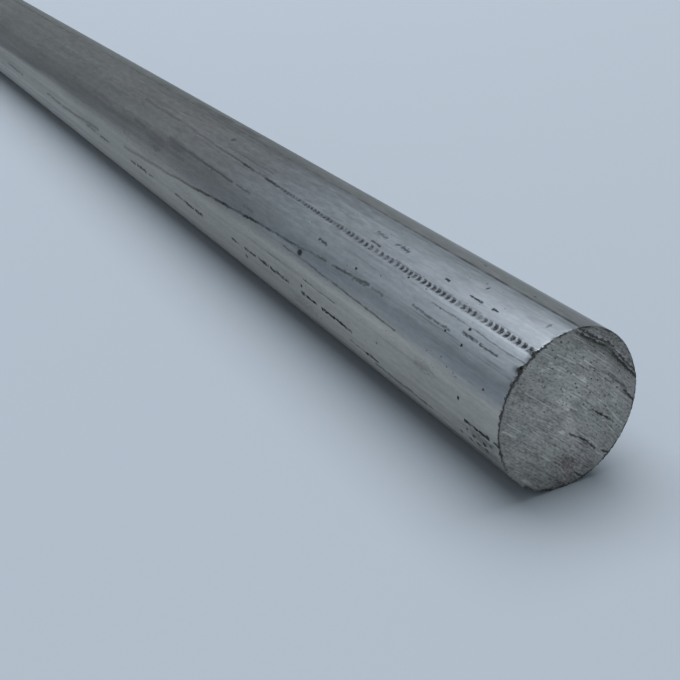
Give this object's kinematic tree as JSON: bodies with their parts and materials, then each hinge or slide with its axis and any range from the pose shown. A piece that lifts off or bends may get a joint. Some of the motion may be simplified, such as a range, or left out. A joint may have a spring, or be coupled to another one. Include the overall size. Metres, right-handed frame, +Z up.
{
  "type": "round metal bar",
  "caption": "Solid round aluminium bar in mill finish, one end sawn slightly out of square and the other square; raw stock for machining, shafts, pins and frames.",
  "frame": {"origin": "on the floor, under the middle of the bar's length", "axes": "+X along the bar towards the sawn end, +Z up, the bar lying on z = 0"},
  "size_m": [0.5, 0.025, 0.025],
  "materials": {
    "mill_aluminium": "mill finish, dull, with draw lines and a sawn end"
  },
  "bodies": {
    "root": {"round_bar": "mill_aluminium"}
  },
  "joints": []
}
